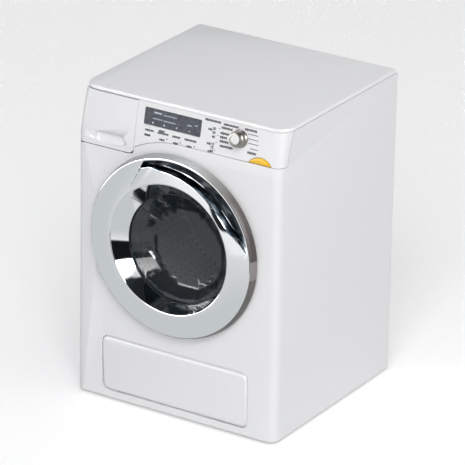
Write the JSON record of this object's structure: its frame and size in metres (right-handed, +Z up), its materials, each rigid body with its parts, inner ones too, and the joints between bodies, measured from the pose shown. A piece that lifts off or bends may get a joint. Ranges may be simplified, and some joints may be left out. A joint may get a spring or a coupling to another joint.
{
  "type": "toy washing machine",
  "caption": "Toy front-loading washing machine with a bright ring door, sunken round window, turning drum, tilting water dispenser, dial, start button and drain tube.",
  "frame": {"origin": "middle of the overall footprint, on the surface that the feet stand on", "axes": "+Z up, the door faces -Y, +X to the right of someone facing the door"},
  "size_m": [0.185, 0.185, 0.26],
  "materials": {
    "white_plastic": "glossy white ABS",
    "grey_plastic": "satin mid grey",
    "dark_plastic": "satin charcoal",
    "pale_grey_plastic": "satin pale grey",
    "bright_plating": "mirror-bright plating on plastic",
    "steel": "plain plated steel",
    "brass": "plain brass",
    "black_rubber": "soft black",
    "smoke_window": "smoke-tinted clear plastic",
    "yellow_plastic": "glossy yellow",
    "green_board": "coated board"
  },
  "bodies": {
    "cabinet": {"cabinet_body": "white_plastic", "worktop": "white_plastic", "fascia": "white_plastic", "display_window": "dark_plastic", "water_hopper": "dark_plastic", "kick_panel": "white_plastic", "base_pan": "pale_grey_plastic", "foot_1": "black_rubber", "foot_2": "black_rubber", "foot_3": "black_rubber", "foot_4": "black_rubber", "door_catch": "pale_grey_plastic", "tub_front": "grey_plastic", "tub": "grey_plastic", "door_seal": "grey_plastic", "tub_screw_1": "steel", "tub_screw_2": "steel", "tub_screw_3": "steel", "shaft_bush": "brass", "reduction_pin": "steel", "gear_plate": "grey_plastic", "drive_motor": "steel", "rear_panel": "white_plastic", "rear_screw_1": "steel", "rear_screw_2": "steel", "rear_screw_3": "steel", "rear_screw_4": "steel", "battery_box": "dark_plastic", "battery_1": "steel", "battery_2": "steel", "battery_3": "steel", "contact_left": "steel", "contact_right": "steel", "speaker": "dark_plastic", "control_board": "green_board", "rotary_switch": "dark_plastic", "start_switch": "dark_plastic", "drain_spigot": "grey_plastic", "drain_hose": "black_rubber"},
    "door": {"door_ring": "bright_plating", "door_back_frame": "grey_plastic", "door_window": "smoke_window", "window_gasket": "black_rubber", "door_hinge_pin": "steel", "door_latch": "pale_grey_plastic"},
    "dispenser": {"dispenser_flap": "white_plastic"},
    "drum_unit": {"drum": "pale_grey_plastic", "drum_shaft": "steel", "drum_gear": "white_plastic"},
    "reduction": {"reduction_gear": "white_plastic"},
    "motor_rotor": {"motor_pinion": "brass"},
    "dial": {"dial_knob": "bright_plating", "dial_cap": "white_plastic"},
    "button": {"start_button": "yellow_plastic"},
    "battery_lid": {"battery_cover": "white_plastic", "cover_screw": "steel"},
    "drain": {"drain_tube": "white_plastic"}
  },
  "joints": [
    {"name": "door_hinge", "type": "hinge", "parent": "cabinet", "child": "door", "pos_m": [-0.0723, -0.086, 0.1475], "axis": [0, 0, -1], "range_deg": [0, 115]},
    {"name": "dispenser_tilt", "type": "hinge", "parent": "cabinet", "child": "dispenser", "pos_m": [-0.0632, -0.0776, 0.2162], "axis": [1, 0, 0], "range_deg": [0, 30]},
    {"name": "drum_spin", "type": "hinge", "parent": "cabinet", "child": "drum_unit", "pos_m": [0, 0.036, 0.1475], "axis": [0, 1, 0], "continuous": true},
    {"name": "reduction_spin", "type": "hinge", "parent": "cabinet", "child": "reduction", "pos_m": [0.01507, 0.045, 0.12139], "axis": [0, 1, 0], "continuous": true},
    {"name": "motor_spin", "type": "hinge", "parent": "cabinet", "child": "motor_rotor", "pos_m": [0.01507, 0.05, 0.10124], "axis": [0, 1, 0], "continuous": true},
    {"name": "dial_turn", "type": "hinge", "parent": "cabinet", "child": "dial", "pos_m": [0.0536, -0.07605, 0.2463], "axis": [0, -0.9781, 0.2079], "range_deg": [-150, 150]},
    {"name": "start_press", "type": "slide", "parent": "cabinet", "child": "button", "axis": [0, 0.9781, -0.2079], "range_m": [0, 0.0015], "stiffness_N_per_m": 120},
    {"name": "battery_lid_off", "type": "slide", "parent": "cabinet", "child": "battery_lid", "axis": [0, 1, 0], "range_m": [0, 0.02]},
    {"name": "drain_swing", "type": "hinge", "parent": "cabinet", "child": "drain", "pos_m": [0.045, 0.0869, 0.03], "axis": [0, -1, 0], "range_deg": [0, 115]}
  ],
  "couplings": [
    {"joint": "reduction_spin", "follows": "drum_spin", "ratio": -4},
    {"joint": "motor_spin", "follows": "drum_spin", "ratio": 16}
  ]
}
